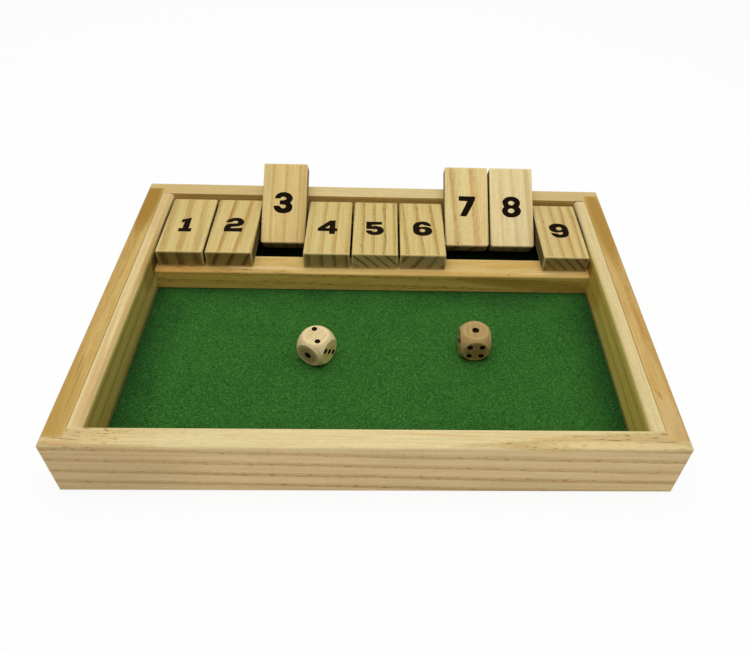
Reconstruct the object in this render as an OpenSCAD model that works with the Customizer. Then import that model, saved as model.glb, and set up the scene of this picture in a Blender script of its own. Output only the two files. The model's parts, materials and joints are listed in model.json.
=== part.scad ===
// Shut the box game: a felt-lined pine tray, nine numbered tiles hinged on one steel rod, two wooden dice.
// Millimetres, +Z up, +Y to the hinge side. The origin is the centre of the tray's footprint, on the table.
// A tile is shut when its free end lies on the rest rail, and open when it leans on the back board's rim.

/* [Tiles] */
// Width of one tile, along the rod
tile_w = 26.6; // [20:0.1:34]
// Length of one tile, from hinge end to free end
tile_l = 51; // [44:0.5:62]
// Thickness of one tile
tile_t = 10.6; // [8:0.1:12]
// Distance from the tile's hinge end to the rod's axis
hinge_inset = 15; // [12:0.1:18]
// Radius of the two corners at the tile's hinge end, seen from above
hinge_corner_r = 2.2; // [0.8:0.1:3]
// Radius of the two corners at the tile's free end, seen from above
free_corner_r = 1; // [0.6:0.1:3]
// Radius of the tile's long edges
tile_edge_r = 1; // [0.4:0.1:2]
// Radius of the edges of the tile's two ends
tile_end_r = 0.8; // [0.4:0.1:1.5]
// Gap between neighbouring tiles
tile_gap = 1.2; // [0.6:0.1:2.5]
// Gap between the outermost tiles and the liners
row_end_gap = 1; // [0.6:0.1:3]

/* [Hinge rod] */
// Diameter of the steel rod
rod_d = 3; // [2:0.1:4]
// Radial play of a tile on the rod
tile_bore_play = 0.08; // [0.04:0.01:0.1]
// Radial play of the rod in the liners
liner_bore_play = 0.04; // [0.02:0.01:0.08]
// End play of the rod between the two side boards, at each end
rod_end_play = 0.3; // [0.1:0.1:1]
// Room between the tiles' sweeping hinge ends and the back board
back_clearance = 3.1; // [1.5:0.1:6]
// Room between the tiles' sweeping hinge ends and the felt
felt_clearance = 1.8; // [0.8:0.1:4]

/* [Boards] */
// Thickness of the front board
front_board_t = 10; // [8:0.5:14]
// Thickness of the back board
back_board_t = 11.2; // [8:0.1:14]
// Thickness of the left and right boards
side_board_t = 10; // [8:0.5:14]
// Thickness of the front board's tongues, which cover the side boards' ends
front_tongue_t = 5; // [3:0.1:7]
// Thickness of the back board's tongues, which cover the side boards' ends
back_tongue_t = 5.8; // [3:0.1:7]
// Height of the rim above the shut tiles
rim_above_tiles = 1.1; // [1:0.1:6]
// Radius of the frame's outer edges
frame_edge_r = 1.6; // [0.4:0.1:2]

/* [Floor] */
// Height of the base panel's underside above the table
base_lift = 6.5; // [3:0.5:10]
// Thickness of the base panel
base_t = 3; // [2:0.5:5]
// Depth of the groove that holds the base panel
groove_d = 4; // [2:0.5:5]
// Play of the base panel in its groove
groove_play = 0.2; // [0.1:0.05:0.5]
// Thickness of the felt
felt_t = 1.3; // [0.8:0.1:2.5]
// Gap between the felt's cut edge and the boards
felt_trim = 0.2; // [0.1:0.1:0.8]
// Depth of the open felt, from the front board to the rest rail
play_depth = 116.5; // [90:0.5:150]

/* [Liners and rail] */
// Thickness of the side liners
liner_t = 6.8; // [5:0.1:10]
// Gap between a liner and its side board
liner_side_gap = 0.2; // [0.1:0.05:0.5]
// Gap between the left liner's back end and the back board
left_liner_end_gap = 0.2; // [0.1:0.1:1]
// Gap between the right liner's back end and the back board
right_liner_end_gap = 0.6; // [0.1:0.1:1]
// Radius of the liners' inner top edge
liner_edge_r = 2.6; // [1:0.1:4]
// Width of the rest rail, front to back
rail_w = 14.5; // [11:0.5:22]
// Radius of the rail's front top edge
rail_edge_r = 1; // [1:0.1:4]
// Length of each shut tile that lies on the rail
rail_bearing = 9.5; // [6:0.5:10.5]
// Air left under a shut tile where it lies on the rail
rest_air = 0.05; // [0.02:0.01:0.2]
// Air left between an open tile and the back board's rim
rim_air = 0.2; // [0.1:0.05:0.5]

/* [Dice] */
// Width of a die across its flat faces
die_w = 16; // [12:0.5:20]
// Radius of the sphere that rounds a die's corners
die_round_r = 10.5; // [8:0.1:16]
// Distance of the outer pips from the middle of a face
pip_offset = 3.2; // [2.4:0.1:4.2]
// Diameter of a pip
pip_d = 2.7; // [1.6:0.1:3.2]
// Diameter of the single pip on the one
ace_pip_d = 3.5; // [2:0.1:4.4]
// Depth of a pip
pip_depth = 0.5; // [0.3:0.05:0.8]

/* [Hidden] */
tile_count = 9;
open_tiles = [3, 7, 8];
$fn = 64;
past = 1; // how far a cutter reaches past the face it cuts

// Colours
cream_pine = [0.87, 0.79, 0.60];
amber_pine = [0.79, 0.65, 0.39];
tile_pine = [0.84, 0.74, 0.50];
birch_ply = [0.82, 0.72, 0.54];
baize_green = [0.18, 0.42, 0.15];
bright_steel = [0.72, 0.72, 0.70];
pale_maple = [0.87, 0.79, 0.61];
warm_maple = [0.72, 0.57, 0.36];

// Across the tray: the row of tiles sets the width
tile_pitch = tile_w + tile_gap;
row_w = tile_count * tile_pitch - tile_gap;
well_w = row_w + 2 * row_end_gap;
inner_w = well_w + 2 * (liner_t + liner_side_gap);
tray_w = inner_w + 2 * side_board_t;

// Up: the sweep of a tile's hinge end sets the rail's height
felt_z = base_lift + base_t;
floor_z = felt_z + felt_t;
sweep_r = norm([hinge_inset, tile_t / 2]);
rod_z = floor_z + felt_clearance + sweep_r;
rail_top_z = rod_z - tile_t / 2 - rest_air;
tray_h = rod_z + tile_t / 2 + rim_above_tiles;

// Front to back: play area, rail, well and the two boards add up to the depth
free_l = tile_l - hinge_inset;
rod_setback = sweep_r + back_clearance;
well_d = rod_setback + free_l - rail_bearing;
inner_d = play_depth + rail_w + well_d;
tray_d = front_board_t + inner_d + back_board_t;
front_y = -tray_d / 2 + front_board_t;
back_y = tray_d / 2 - back_board_t;
rod_y = back_y - rod_setback;
rail_y = front_y + play_depth;

// An open tile leans on the back board's inner rim
rim_reach = norm([rod_setback, tray_h - rod_z]);
lean = atan2(tray_h - rod_z, rod_setback) + asin((tile_t / 2 + rim_air) / rim_reach);
swing = 180 - lean;

// Where the dice lie on the felt: place, turn, and the numbers on the top, front and right faces
die_left_at = [-29.6, -24.3];
die_left_turn = -30.6;
die_left_faces = [2, 1, 3];
die_right_at = [53.8, -19.5];
die_right_turn = 1;
die_right_faces = [1, 4, 2];

// A rectangle with rounded corners, centred on the origin
module rounded_rect(w, h, r) {
    square([w - 2 * r, h], center = true);
    square([w, h - 2 * r], center = true);
    for (x = [-1, 1], y = [-1, 1])
        translate([x * (w / 2 - r), y * (h / 2 - r)])
            circle(r = r);
}

// A box with low corner a and high corner b
module block(a, b) {
    translate(a) cube(b - a);
}

// Extrudes a profile drawn in Y and Z along X, centred
module along_x(length) {
    rotate([90, 0, 90]) linear_extrude(height = length, center = true) children();
}

// Extrudes a profile drawn in X and Z along Y, centred
module along_y(length) {
    rotate([90, 0, 0]) linear_extrude(height = length, center = true) children();
}

// The frame's outer form with its eased edges, which all four boards are cut from
module frame_form() {
    intersection() {
        linear_extrude(height = tray_h) rounded_rect(tray_w, tray_d, frame_edge_r);
        translate([0, 0, tray_h / 2])
            along_x(tray_w + past) rounded_rect(tray_d, tray_h, frame_edge_r);
        translate([0, 0, tray_h / 2])
            along_y(tray_d + past) rounded_rect(tray_w, tray_h, frame_edge_r);
    }
}

// The slot that the base panel slides into, round the whole inside of the frame
module groove() {
    w = inner_w + 2 * groove_d;
    d = inner_d + 2 * groove_d;
    mid_y = (front_y + back_y) / 2;
    translate([-w / 2, mid_y - d / 2, base_lift]) cube([w, d, base_t + groove_play]);
}

// The room that one side board fills, which the front and back boards leave free as a rabbet
module side_board_space(side) {
    length = tray_d - front_tongue_t - back_tongue_t;
    mid_y = (front_tongue_t - back_tongue_t) / 2;
    translate([side * (inner_w / 2 + side_board_t), mid_y, tray_h / 2])
        cube([2 * side_board_t, length, tray_h + 2 * past], center = true);
}

// A full-width board that fills the frame's form between two depths
module end_board(from_y, to_y) {
    color(cream_pine)
    difference() {
        intersection() {
            frame_form();
            block([-tray_w, from_y, -past], [tray_w, to_y, tray_h + past]);
        }
        for (side = [-1, 1]) side_board_space(side);
        groove();
    }
}

module front_board() { end_board(-tray_d, front_y); }

module back_board() { end_board(back_y, tray_d); }

module side_board(side) {
    color(amber_pine)
    difference() {
        intersection() {
            frame_form();
            side_board_space(side);
        }
        groove();
    }
}

module left_board() { side_board(-1); }

module right_board() { side_board(1); }

module base_panel() {
    w = inner_w + 2 * (groove_d - groove_play);
    d = inner_d + 2 * (groove_d - groove_play);
    color(birch_ply)
    translate([-w / 2, front_y - groove_d + groove_play, base_lift]) cube([w, d, base_t]);
}

module felt_bed() {
    color(baize_green)
    block([-inner_w / 2 + felt_trim, front_y + felt_trim, felt_z],
          [inner_w / 2 - felt_trim, back_y - felt_trim, floor_z]);
}

// Stands on the felt beside a side board, flush with the rim, and carries one end of the rod
module liner(side, end_gap) {
    h = tray_h - floor_z;
    length = inner_d - end_gap;
    color(cream_pine)
    difference() {
        translate([side * (well_w + liner_t) / 2, front_y + length / 2, floor_z])
            along_y(length)
                mirror([side > 0 ? 1 : 0, 0])
                    translate([-liner_t / 2, 0])
                        union() {
                            square([liner_t - liner_edge_r, h]);
                            square([liner_t, h - liner_edge_r]);
                            translate([liner_t - liner_edge_r, h - liner_edge_r]) circle(r = liner_edge_r);
                        }
        rod_bore(liner_bore_play);
    }
}

module left_liner() { liner(-1, left_liner_end_gap); }

module right_liner() { liner(1, right_liner_end_gap); }

module rest_rail() {
    h = rail_top_z - floor_z;
    color(amber_pine)
    translate([0, rail_y, floor_z])
        along_x(well_w)
            union() {
                square([rail_w, h - rail_edge_r]);
                translate([rail_edge_r, 0]) square([rail_w - rail_edge_r, h]);
                translate([rail_edge_r, h - rail_edge_r]) circle(r = rail_edge_r);
            }
}

// The rod's own line, widened by a play and longer than the tray
module rod_bore(play) {
    translate([0, rod_y, rod_z])
        rotate([0, 90, 0])
            cylinder(d = rod_d + 2 * play, h = tray_w, center = true);
}

module hinge_rod() {
    color(bright_steel)
    translate([0, rod_y, rod_z])
        rotate([0, 90, 0])
            cylinder(d = rod_d, h = inner_w - 2 * rod_end_play, center = true);
}

// A tile seen from above, with its hinge end towards +Y
module tile_outline() {
    lap = tile_l / 4;
    length = tile_l / 2 + lap;
    for (end = [[1, hinge_corner_r], [-1, free_corner_r]])
        translate([0, end[0] * (tile_l - length) / 2])
            rounded_rect(tile_w, length, end[1]);
}

// A tile with the rod's axis on the origin along X, lying shut with its free end towards -Y
module tile_blank() {
    middle_y = hinge_inset - tile_l / 2;
    difference() {
        translate([0, middle_y, 0])
            intersection() {
                linear_extrude(height = tile_t + past, center = true) tile_outline();
                along_y(tile_l + past) rounded_rect(tile_w, tile_t, tile_edge_r);
                along_x(tile_w + past) rounded_rect(tile_l, tile_t, tile_end_r);
            }
        rotate([0, 90, 0])
            cylinder(d = rod_d + 2 * tile_bore_play, h = tile_w + 2 * past, center = true);
    }
}

// Tile n in its place on the rod, shut, or swung over if it stands open
module tile(n) {
    is_open = len(search(n, open_tiles)) > 0;
    color(tile_pine)
    translate([(n - (tile_count + 1) / 2) * tile_pitch, rod_y, rod_z])
        rotate([is_open ? -swing : 0, 0, 0])
            tile_blank();
}

// Places of a face's pips, in steps of pip_offset
function pip_places(count) = [
    if (count % 2 == 1) [0, 0],
    if (count > 1) for (s = [-1, 1]) [s, -s],
    if (count > 3) for (s = [-1, 1]) [s, s],
    if (count == 6) for (s = [-1, 1]) [s, 0]
];

// The ball that sinks one pip into the face z = 0
module pip_cut(d) {
    ball_r = (pow(d / 2, 2) + pow(pip_depth, 2)) / (2 * pip_depth);
    translate([0, 0, ball_r - pip_depth]) sphere(r = ball_r);
}

module face_pips(count) {
    for (p = pip_places(count))
        translate([p[0] * pip_offset, p[1] * pip_offset, die_w / 2])
            pip_cut(count == 1 ? ace_pip_d : pip_d);
}

// faces holds the numbers on the top, front and right; opposite faces add up to seven
module die(at, turn, faces) {
    translate([at[0], at[1], floor_z + die_w / 2])
        rotate([0, 0, turn])
            difference() {
                intersection() {
                    cube(die_w, center = true);
                    sphere(r = die_round_r);
                }
                face_pips(faces[0]);
                rotate([180, 0, 0]) face_pips(7 - faces[0]);
                rotate([90, 0, 0]) face_pips(faces[1]);
                rotate([90, 0, 180]) face_pips(7 - faces[1]);
                rotate([90, 0, 90]) face_pips(faces[2]);
                rotate([90, 0, 270]) face_pips(7 - faces[2]);
            }
}

module die_left() {
    color(pale_maple) die(die_left_at, die_left_turn, die_left_faces);
}

module die_right() {
    color(warm_maple) die(die_right_at, die_right_turn, die_right_faces);
}

front_board();
back_board();
left_board();
right_board();
base_panel();
felt_bed();
left_liner();
right_liner();
rest_rail();
hinge_rod();
for (n = [1 : tile_count])
    tile(n);
die_left();
die_right();
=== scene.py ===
"""Looks of the shut the box game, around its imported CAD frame.

Pine boards, tiles and dice keep their CAD shapes and get solid wood grain, with rings, fibres and end
grain. The felt, the printed numbers and the dice's painted pips are modelled here. Blender's lengths are in
metres, so lengths in mm are multiplied by MM.
"""

import bpy
import bmesh
import json
import math
import random
from mathutils import Euler, Matrix, Vector, noise


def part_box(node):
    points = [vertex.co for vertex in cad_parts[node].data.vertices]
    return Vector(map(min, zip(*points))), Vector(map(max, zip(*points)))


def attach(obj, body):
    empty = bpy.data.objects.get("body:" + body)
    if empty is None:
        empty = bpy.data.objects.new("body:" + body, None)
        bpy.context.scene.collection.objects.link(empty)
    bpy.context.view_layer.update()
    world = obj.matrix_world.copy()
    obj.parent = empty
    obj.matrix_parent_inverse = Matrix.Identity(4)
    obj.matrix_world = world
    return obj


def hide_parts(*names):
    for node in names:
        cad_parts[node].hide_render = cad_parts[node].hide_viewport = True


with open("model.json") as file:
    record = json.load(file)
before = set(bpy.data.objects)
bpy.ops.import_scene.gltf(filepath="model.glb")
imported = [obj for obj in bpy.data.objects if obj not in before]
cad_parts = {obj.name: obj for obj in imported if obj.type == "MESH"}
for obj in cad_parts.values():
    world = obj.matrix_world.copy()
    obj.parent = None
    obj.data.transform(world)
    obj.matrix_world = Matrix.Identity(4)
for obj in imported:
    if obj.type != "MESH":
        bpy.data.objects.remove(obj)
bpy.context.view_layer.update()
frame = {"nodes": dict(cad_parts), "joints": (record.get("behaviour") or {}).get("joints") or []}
MM = 0.001

# ---------------------------------------------------------------- camera, lights and floor

IMAGE_W, IMAGE_H = 750, 652
SENSOR_W = 36.0
FOCAL_PX = 687.8
CENTRE_PX = (405.15, 293.85)
CAMERA_AT = Vector((2.8, -269.58, 286.9)) * MM
CAMERA_RIGHT = Vector((0.99919, -0.01788, 0.03595))
CAMERA_DOWN = Vector((0.01398, -0.68439, -0.72898))

WORLD_LIGHT = 0.32
SOFTBOX_WATTS = 12.1
SOFTBOX_SIZE = 1.1
SOFTBOX_AT = Vector((-0.02, 0.02, 1.15))

FLOOR_SIZE = 8.0
FLOOR_COLOUR = (0.9, 0.9, 0.9, 1)
FLOOR_LIFT = 0.90
WHITE = (1, 1, 1, 1)


def srgb(r, g, b):
    """An 8-bit sRGB colour as linear RGBA."""
    def linear(c):
        c /= 255
        return c / 12.92 if c <= 0.04045 else ((c + 0.055) / 1.055) ** 2.4
    return (linear(r), linear(g), linear(b), 1.0)


def add_object(name, data):
    made = bpy.data.objects.new(name, data)
    bpy.context.scene.collection.objects.link(made)
    return made


def make_camera():
    camera = add_object("camera", bpy.data.cameras.new("camera"))
    camera.data.sensor_width = SENSOR_W
    camera.data.lens = FOCAL_PX * SENSOR_W / IMAGE_W
    camera.data.shift_x = (IMAGE_W / 2 - CENTRE_PX[0]) / IMAGE_W
    camera.data.shift_y = (CENTRE_PX[1] - IMAGE_H / 2) / IMAGE_W
    camera.data.clip_start = 10 * MM
    right = CAMERA_RIGHT.normalized()
    back = right.cross(-CAMERA_DOWN).normalized()
    turn = Matrix((right, back.cross(right), back)).transposed()
    camera.matrix_world = Matrix.Translation(CAMERA_AT) @ turn.to_4x4()
    bpy.context.scene.camera = camera


def make_lights():
    lamp = bpy.data.lights.new("softbox", "AREA")
    lamp.shape = "SQUARE"
    lamp.size = SOFTBOX_SIZE
    lamp.energy = SOFTBOX_WATTS
    softbox = add_object("softbox", lamp)
    softbox.location = SOFTBOX_AT
    softbox.rotation_euler = (Vector((0, 0, 0)) - SOFTBOX_AT).to_track_quat("-Z", "Y").to_euler()


class Shader:
    """Adds nodes to one material or world, so that a shader reads like a formula."""

    def __init__(self, owner):
        owner.use_nodes = True
        self.tree = owner.node_tree
        self.tree.nodes.clear()

    def put(self, socket, value):
        if isinstance(value, bpy.types.NodeSocket):
            self.tree.links.new(value, socket)
        else:
            socket.default_value = value

    def node(self, kind, settings=None, inputs=None):
        made = self.tree.nodes.new("ShaderNode" + kind)
        for name, value in (settings or {}).items():
            setattr(made, name, value)
        for name, value in (inputs or {}).items():
            self.put(made.inputs[name], value)
        return made

    def math(self, operation, *values):
        return self.node("Math", {"operation": operation}, dict(enumerate(values))).outputs[0]

    def add(self, *values):
        total = values[0]
        for value in values[1:]:
            total = self.math("ADD", total, value)
        return total

    def sub(self, a, b):
        return self.math("SUBTRACT", a, b)

    def mul(self, *values):
        product = values[0]
        for value in values[1:]:
            product = self.math("MULTIPLY", product, value)
        return product

    def swing(self, value, amount):
        """A 0 to 1 value as a change up or down, half of amount at most."""
        return self.mul(self.sub(value, 0.5), amount)

    def smooth(self, value, low, high):
        """0 below low, 1 above high, and a smooth step between them. low may be the larger one."""
        settings = {"interpolation_type": "SMOOTHSTEP"}
        inputs = {"Value": value, "From Min": low, "From Max": high}
        return self.node("MapRange", settings, inputs).outputs[0]

    def vector(self, x, y, z):
        return self.node("CombineXYZ", None, {0: x, 1: y, 2: z}).outputs[0]

    def split(self, vector):
        return self.node("SeparateXYZ", None, {0: vector}).outputs[:3]

    def noise(self, at, scale=1.0, detail=2.0, rough=0.5, distort=0.0):
        inputs = {"Vector": at, "Scale": scale, "Detail": detail, "Roughness": rough, "Distortion": distort}
        return self.node("TexNoise", None, inputs).outputs[0]

    def mix(self, factor, a, b, blend="MIX"):
        """Colour b over a, by factor. The Mix node's colours are its inputs 6 and 7 and its output 2."""
        settings = {"data_type": "RGBA", "blend_type": blend}
        made = self.node("Mix", settings, {0: factor, 6: a, 7: b})
        return made.outputs[2]

    def times(self, colour, factors):
        """colour with its red, green and blue each multiplied by a factor."""
        return self.mix(1.0, colour, (*factors, 1.0), "MULTIPLY")

    def shade(self, colour, amount):
        """colour made lighter or darker by the factor amount, which is a socket or a number."""
        colour = colour if isinstance(colour, bpy.types.NodeSocket) else colour[:3]
        return self.node("VectorMath", {"operation": "SCALE"}, {0: colour, "Scale": amount}).outputs[0]

    def bump(self, height, distance, strength):
        inputs = {"Height": height, "Distance": distance, "Strength": strength}
        return self.node("Bump", None, inputs).outputs[0]

    def surface(self, shader):
        kind = "OutputWorld" if isinstance(self.tree.id_data, bpy.types.World) else "OutputMaterial"
        self.node(kind, None, {"Surface": shader})

    def principled(self, **sockets):
        """The Principled shader. A name's underscores stand for spaces."""
        inputs = {name.replace("_", " "): value for name, value in sockets.items()}
        self.surface(self.node("BsdfPrincipled", None, inputs).outputs[0])


def seen_directly(shader):
    """1 for rays that show the background itself: from the camera, in a reflection or through glass."""
    rays = shader.node("LightPath").outputs
    seen = shader.math("MAXIMUM", rays["Is Camera Ray"], rays["Is Glossy Ray"])
    return shader.math("MAXIMUM", seen, rays["Is Transmission Ray"])


def make_world():
    world = bpy.data.worlds.new("studio")
    bpy.context.scene.world = world
    shader = Shader(world)
    strength = shader.add(WORLD_LIGHT, shader.mul(seen_directly(shader), 1 - WORLD_LIGHT))
    white = shader.node("Background", None, {"Color": WHITE, "Strength": strength})
    shader.surface(white.outputs[0])


def make_floor():
    """A white floor. Seen directly it is lifted towards white, and keeps part of the object's shadow."""
    mesh = bpy.data.meshes.new("floor")
    half = FLOOR_SIZE / 2
    corners = [(-half, -half, 0), (half, -half, 0), (half, half, 0), (-half, half, 0)]
    mesh.from_pydata(corners, [], [(0, 1, 2, 3)])
    floor = add_object("floor", mesh)
    material = bpy.data.materials.new("floor_white")
    shader = Shader(material)
    lit = shader.node("BsdfDiffuse", None, {"Color": FLOOR_COLOUR}).outputs[0]
    glow = shader.node("Emission", None, {"Color": WHITE, "Strength": 1.0}).outputs[0]
    lift = shader.mul(seen_directly(shader), FLOOR_LIFT)
    shader.surface(shader.node("MixShader", None, {0: lift, 1: lit, 2: glow}).outputs[0])
    mesh.materials.append(material)


# ---------------------------------------------------------------- where each piece of wood lies

class Place:
    """A piece's own axes: x along its grain, z up when shut or upright, with its middle at the origin."""

    def __init__(self, centre, turn, half):
        self.centre = Vector(centre)
        self.turn = turn
        self.half = half
        self.matrix = Matrix.Translation(self.centre) @ turn.to_4x4()


ALONG_X = Matrix.Identity(3)
TOWARDS_FRONT = Matrix.Rotation(math.radians(-90), 3, "Z")


def board_place(node, turn):
    """The place of a piece whose grain runs along x, or towards the front."""
    low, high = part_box(node)
    half = (high - low) / 2
    if turn is TOWARDS_FRONT:
        half = Vector((half.y, half.x, half.z))
    return Place((low + high) / 2, turn, half)


TILE_COUNT = 9
HINGES = {j["child"]: j for j in frame["joints"] if j["type"] == "hinge"}
SHUT_TILE = board_place("tile_1", TOWARDS_FRONT)
PIVOT_TO_MIDDLE = SHUT_TILE.centre - Vector(HINGES["tile_1"]["pos_m"])


def tile_place(number):
    """A tile that stands open at rest is the shut tile, turned back about its hinge."""
    hinge = HINGES[f"tile_{number}"]
    swung = math.radians(-hinge["range_deg"][0])
    turned = Matrix.Rotation(swung, 3, Vector(hinge["axis"]))
    middle = Vector(hinge["pos_m"]) + turned @ PIVOT_TO_MIDDLE
    return Place(middle, turned @ TOWARDS_FRONT, SHUT_TILE.half)


# ---------------------------------------------------------------- pine

class Wood:
    """What sets one piece of pine apart. Lengths are in mm, along the axes of the piece's Place.

    early, late: colours of the light wood and of the dark part of each ring
    pith, heart: how far off the tree's pith lies, and in which direction round x, in degrees
    spacing: the width of a ring
    seed: sets the piece's own noise
    band: a (y, z) that a ring's dark part runs through
    drift: how fast the rings move sideways along the grain, in y and z
    wander: how far the rings bend
    contrast: how dark the late wood gets
    crisp, full: where in a ring's width the late wood starts, and where it is at its darkest
    flecks, figure, grit, wear_and_highlight: how strong the resin flecks, reddish streaks, fine pits and
    lighter edges are; the edges are sanded wear and a painted highlight
    warm: more of the late colour in broad patches
    end_tone, end_tint: how dark the end grain is, and the colour it is multiplied by
    painted_face_light: (sign, colour, start). Painted light or shade: the face that looks along y with that
    sign is multiplied by this colour, from start along the grain
    deep: how much darker the middle of the two y faces is, as painted shade of the narrow gaps between
    tiles
    ball: the radius of the ball that rounds a die's corners
    marks: single streaks, as (middle, half size, slope of y and z along x, colour, strength)"""

    def __init__(self, early, late, pith, heart, spacing, seed, band=(0, 0), drift=(0, 0), wander=1.5,
                 contrast=0.5, crisp=0.45, full=0.9, flecks=0.5, figure=0.4, grit=0.45, wear_and_highlight=0.4, warm=0.0,
                 end_tone=0.55, end_tint=(0.94, 0.92, 0.80), painted_face_light=None, deep=0.0, ball=None, marks=()):
        self.early = srgb(*early)
        self.late = srgb(*late)
        angle = math.radians(heart)
        self.pith = (pith * math.cos(angle), pith * math.sin(angle))
        self.spacing = spacing
        self.seed = seed
        self.band = band
        self.drift = drift
        self.wander = wander
        self.contrast = contrast
        self.crisp = crisp
        self.full = full
        self.flecks = flecks
        self.figure = figure
        self.grit = grit
        self.wear_and_highlight = wear_and_highlight
        self.warm = warm
        self.end_tone = end_tone
        self.end_tint = end_tint
        self.painted_face_light = painted_face_light
        self.deep = deep
        self.ball = ball
        self.marks = marks


# Where in a ring's width its late wood is darkest, and whole rings that keep the count above zero
RING_PEAK = 0.90
RINGS_AHEAD = 100
SEED_STEP = 37.0
FLECK = srgb(132, 97, 49)
FLECK_MOST = 0.7
RUSSET = (0.93, 0.84, 0.70)
# How far along the grain painted face light or shade fades in
FACE_LIGHT_FADE = 14
# How wide the lighter edges are: sanded wear and a painted highlight
WEAR_AND_HIGHLIGHT_WIDTH = 1.5


class Pine(Shader):
    """The nodes of one solid piece of pine: rings round a pith, so that its faces and ends agree."""

    def __init__(self, name, place, wood):
        self.material = bpy.data.materials.new(name)
        super().__init__(self.material)
        self.place = place
        self.wood = wood
        coordinates = self.node("TexCoord").outputs
        settings = {"vector_type": "TEXTURE"}
        turn = place.turn.to_euler()
        inputs = {"Vector": coordinates["Object"], "Location": place.centre, "Rotation": turn,
                  "Scale": (MM, MM, MM)}
        self.at = self.node("Mapping", settings, inputs).outputs[0]
        inputs = {"Vector": coordinates["Normal"], "Rotation": turn}
        facing = self.node("Mapping", settings, inputs).outputs[0]
        self.xyz = self.split(self.at)
        self.endways, self.sideways, _ = self.split(facing)

    def grain(self, along, across, detail, rough=0.5, distort=0.0):
        """Noise that is drawn out along the grain."""
        x, y, z = self.xyz
        shifted = self.add(self.mul(x, along), self.wood.seed * SEED_STEP)
        at = self.vector(shifted, self.mul(y, across), self.mul(z, across))
        return self.noise(at, detail=detail, rough=rough, distort=distort)

    def late_wood(self):
        """How much late wood there is: up to contrast in the dark part of each ring."""
        x, y, z = self.xyz
        wood = self.wood
        bend = self.swing(self.grain(0.012, 0.045, 2), 2 * wood.wander)
        ripple = self.swing(self.grain(0.06, 0.5, 3), 0.9)
        from_y = self.add(y, self.mul(x, wood.drift[0]), -wood.pith[0])
        from_z = self.add(z, self.mul(x, wood.drift[1]), -wood.pith[1])
        radius = self.math("SQRT", self.add(self.mul(from_y, from_y), self.mul(from_z, from_z)))
        band_radius = math.hypot(wood.band[0] - wood.pith[0], wood.band[1] - wood.pith[1])
        start = RING_PEAK - band_radius / wood.spacing + RINGS_AHEAD
        phase = self.add(self.math("DIVIDE", self.add(radius, bend, ripple), wood.spacing), start)
        part = self.math("FRACT", phase)
        year = self.add(self.math("FLOOR", phase), wood.seed * SEED_STEP)
        luck = self.node("TexWhiteNoise", {"noise_dimensions": "1D"}, {"W": year}).outputs[0]
        late = self.mul(self.smooth(part, wood.crisp, wood.full), self.smooth(part, 1.0, RING_PEAK + 0.02))
        return self.mul(late, self.add(0.6, self.mul(luck, 0.4)), wood.contrast)

    def marked(self, colour):
        """colour with the piece's single streaks on it."""
        x, y, z = self.xyz
        for middle, half, slope, tone, strength in self.wood.marks:
            ahead = self.sub(x, middle[0])
            beside = self.sub(self.sub(y, middle[1]), self.mul(ahead, slope[0]))
            above = self.sub(self.sub(z, middle[2]), self.mul(ahead, slope[1]))
            far = 0.0
            for offset, reach in zip((ahead, beside, above), half):
                offset = self.math("DIVIDE", offset, reach)
                far = self.add(far, self.mul(offset, offset))
            colour = self.mix(self.mul(self.smooth(far, 1.0, 0.15), strength), colour, srgb(*tone))
        return colour

    def side_faces(self, colour):
        """colour with painted light or shade on one of the faces that look along y, and painted gap shade
        deep in both.
        """
        x, _, z = self.xyz
        wood = self.wood
        # Painted light or shade on the one face that looks along y with the sign
        if wood.painted_face_light:
            sign, painted_face_light, start = wood.painted_face_light
            facing = self.smooth(self.mul(self.sideways, sign), 0.75, 0.97)
            face_light_mask = self.mul(facing, self.smooth(x, start, start + FACE_LIGHT_FADE))
            colour = self.mix(face_light_mask, colour, self.times(colour, painted_face_light))
        # Painted shade of the narrow gaps: darker deep in both y faces
        if wood.deep:
            gap_shade_depth = self.smooth(self.sub(self.place.half.z / MM, self.math("ABSOLUTE", z)), 0.5, 1.7)
            facing = self.smooth(self.math("ABSOLUTE", self.sideways), 0.5, 0.9)
            colour = self.shade(colour, self.sub(1.0, self.mul(gap_shade_depth, facing, wood.deep)))
        return colour

    def end_grain(self, colour, late, end):
        """colour with the ends darker, because end grain soaks up more dirt and oil."""
        ringed = self.mul(self.add(1.0, self.mul(late, -0.60)), self.wood.end_tone)
        pores = self.add(1.0, self.swing(self.noise(self.at, 1.1, 4, 0.8), 2.2))
        darker = self.times(self.shade(colour, self.mul(ringed, pores)), self.wood.end_tint)
        return self.mix(end, colour, darker)

    def worn_and_highlit_edges(self, colour, fine):
        """colour with the edges a little lighter: sanded wear, and a painted highlight."""
        wood = self.wood
        gaps = [self.sub(h / MM, self.math("ABSOLUTE", c)) for h, c in zip(self.place.half, self.xyz)]
        least = self.math("MINIMUM", gaps[0], gaps[1])
        if wood.ball:
            from_middle = self.node("VectorMath", {"operation": "LENGTH"}, {0: self.at}).outputs["Value"]
            least = self.math("MINIMUM", least, gaps[2])
            gap = self.math("MAXIMUM", least, self.sub(wood.ball, from_middle))
        else:
            most = self.math("MAXIMUM", gaps[0], gaps[1])
            gap = self.math("MAXIMUM", least, self.math("MINIMUM", most, gaps[2]))
        wear_and_highlight = self.mul(self.smooth(gap, WEAR_AND_HIGHLIGHT_WIDTH, 0.3), self.add(0.30, self.mul(fine, 0.50)), wood.wear_and_highlight)
        return self.mix(wear_and_highlight, colour, self.shade(wood.early, 1.14))


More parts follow.
